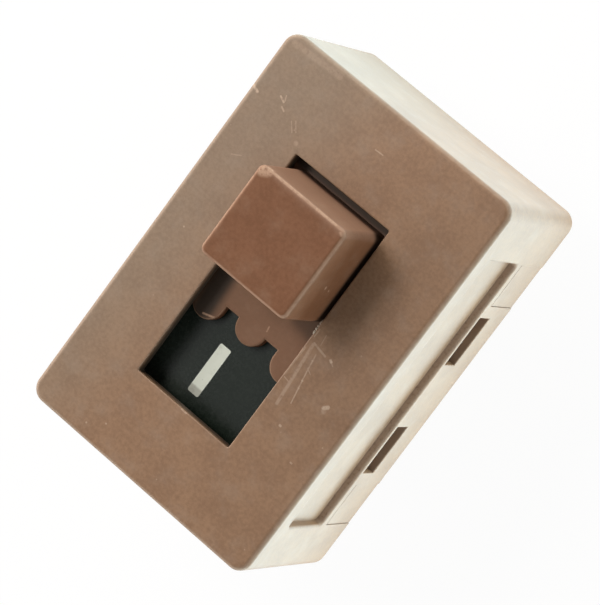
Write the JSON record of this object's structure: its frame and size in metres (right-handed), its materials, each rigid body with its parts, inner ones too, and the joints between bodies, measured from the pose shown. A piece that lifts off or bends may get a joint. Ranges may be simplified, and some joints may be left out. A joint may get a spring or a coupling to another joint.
{
  "type": "cooker hood slide switch",
  "caption": "Panel slide switch with a moulded box housing, a square knob that slides along a slot over a black plate with a white bar, clip recesses in the sides and blade terminals beneath.",
  "frame": {"origin": "centre of the housing's front face", "axes": "+Z out of the front face, +Y along the slot towards the end where the knob rests, +X across the slot"},
  "size_m": [0.029, 0.045, 0.0366],
  "materials": {
    "housing_brown": "brown moulded plastic, fine mottled satin",
    "knob_brown": "reddish brown moulded plastic, satin, worn at its edges",
    "carrier_plastic": "natural moulded plastic",
    "plate_black": "black moulded plastic, satin",
    "mark_white": "white infill, slightly aged",
    "terminal_brass": "stamped brass, bright",
    "bridge_brass": "stamped brass strip",
    "contact_silver": "silver contact rivets",
    "spring_steel": "bright spring steel"
  },
  "bodies": {
    "switch_body": {"housing": "housing_brown", "base": "housing_brown", "indicator_plate": "plate_black", "indicator_mark": "mark_white", "detent_spring_left": "spring_steel", "detent_spring_right": "spring_steel", "fixed_contacts": "contact_silver", "terminal_left_lower": "terminal_brass", "terminal_left_middle": "terminal_brass", "terminal_left_upper": "terminal_brass", "terminal_right_lower": "terminal_brass", "terminal_right_middle": "terminal_brass", "terminal_right_upper": "terminal_brass"},
    "slider": {"slide_knob": "knob_brown", "contact_carrier": "carrier_plastic", "contact_bridge_left": "bridge_brass", "contact_bridge_right": "bridge_brass", "contact_spring_left": "spring_steel", "contact_spring_right": "spring_steel", "moving_contacts": "contact_silver"}
  },
  "joints": [
    {"name": "knob_slide", "type": "slide", "parent": "switch_body", "child": "slider", "axis": [0, -1, 0], "range_m": [0, 0.0138], "deforming": ["detent_spring_left", "detent_spring_right"]}
  ]
}
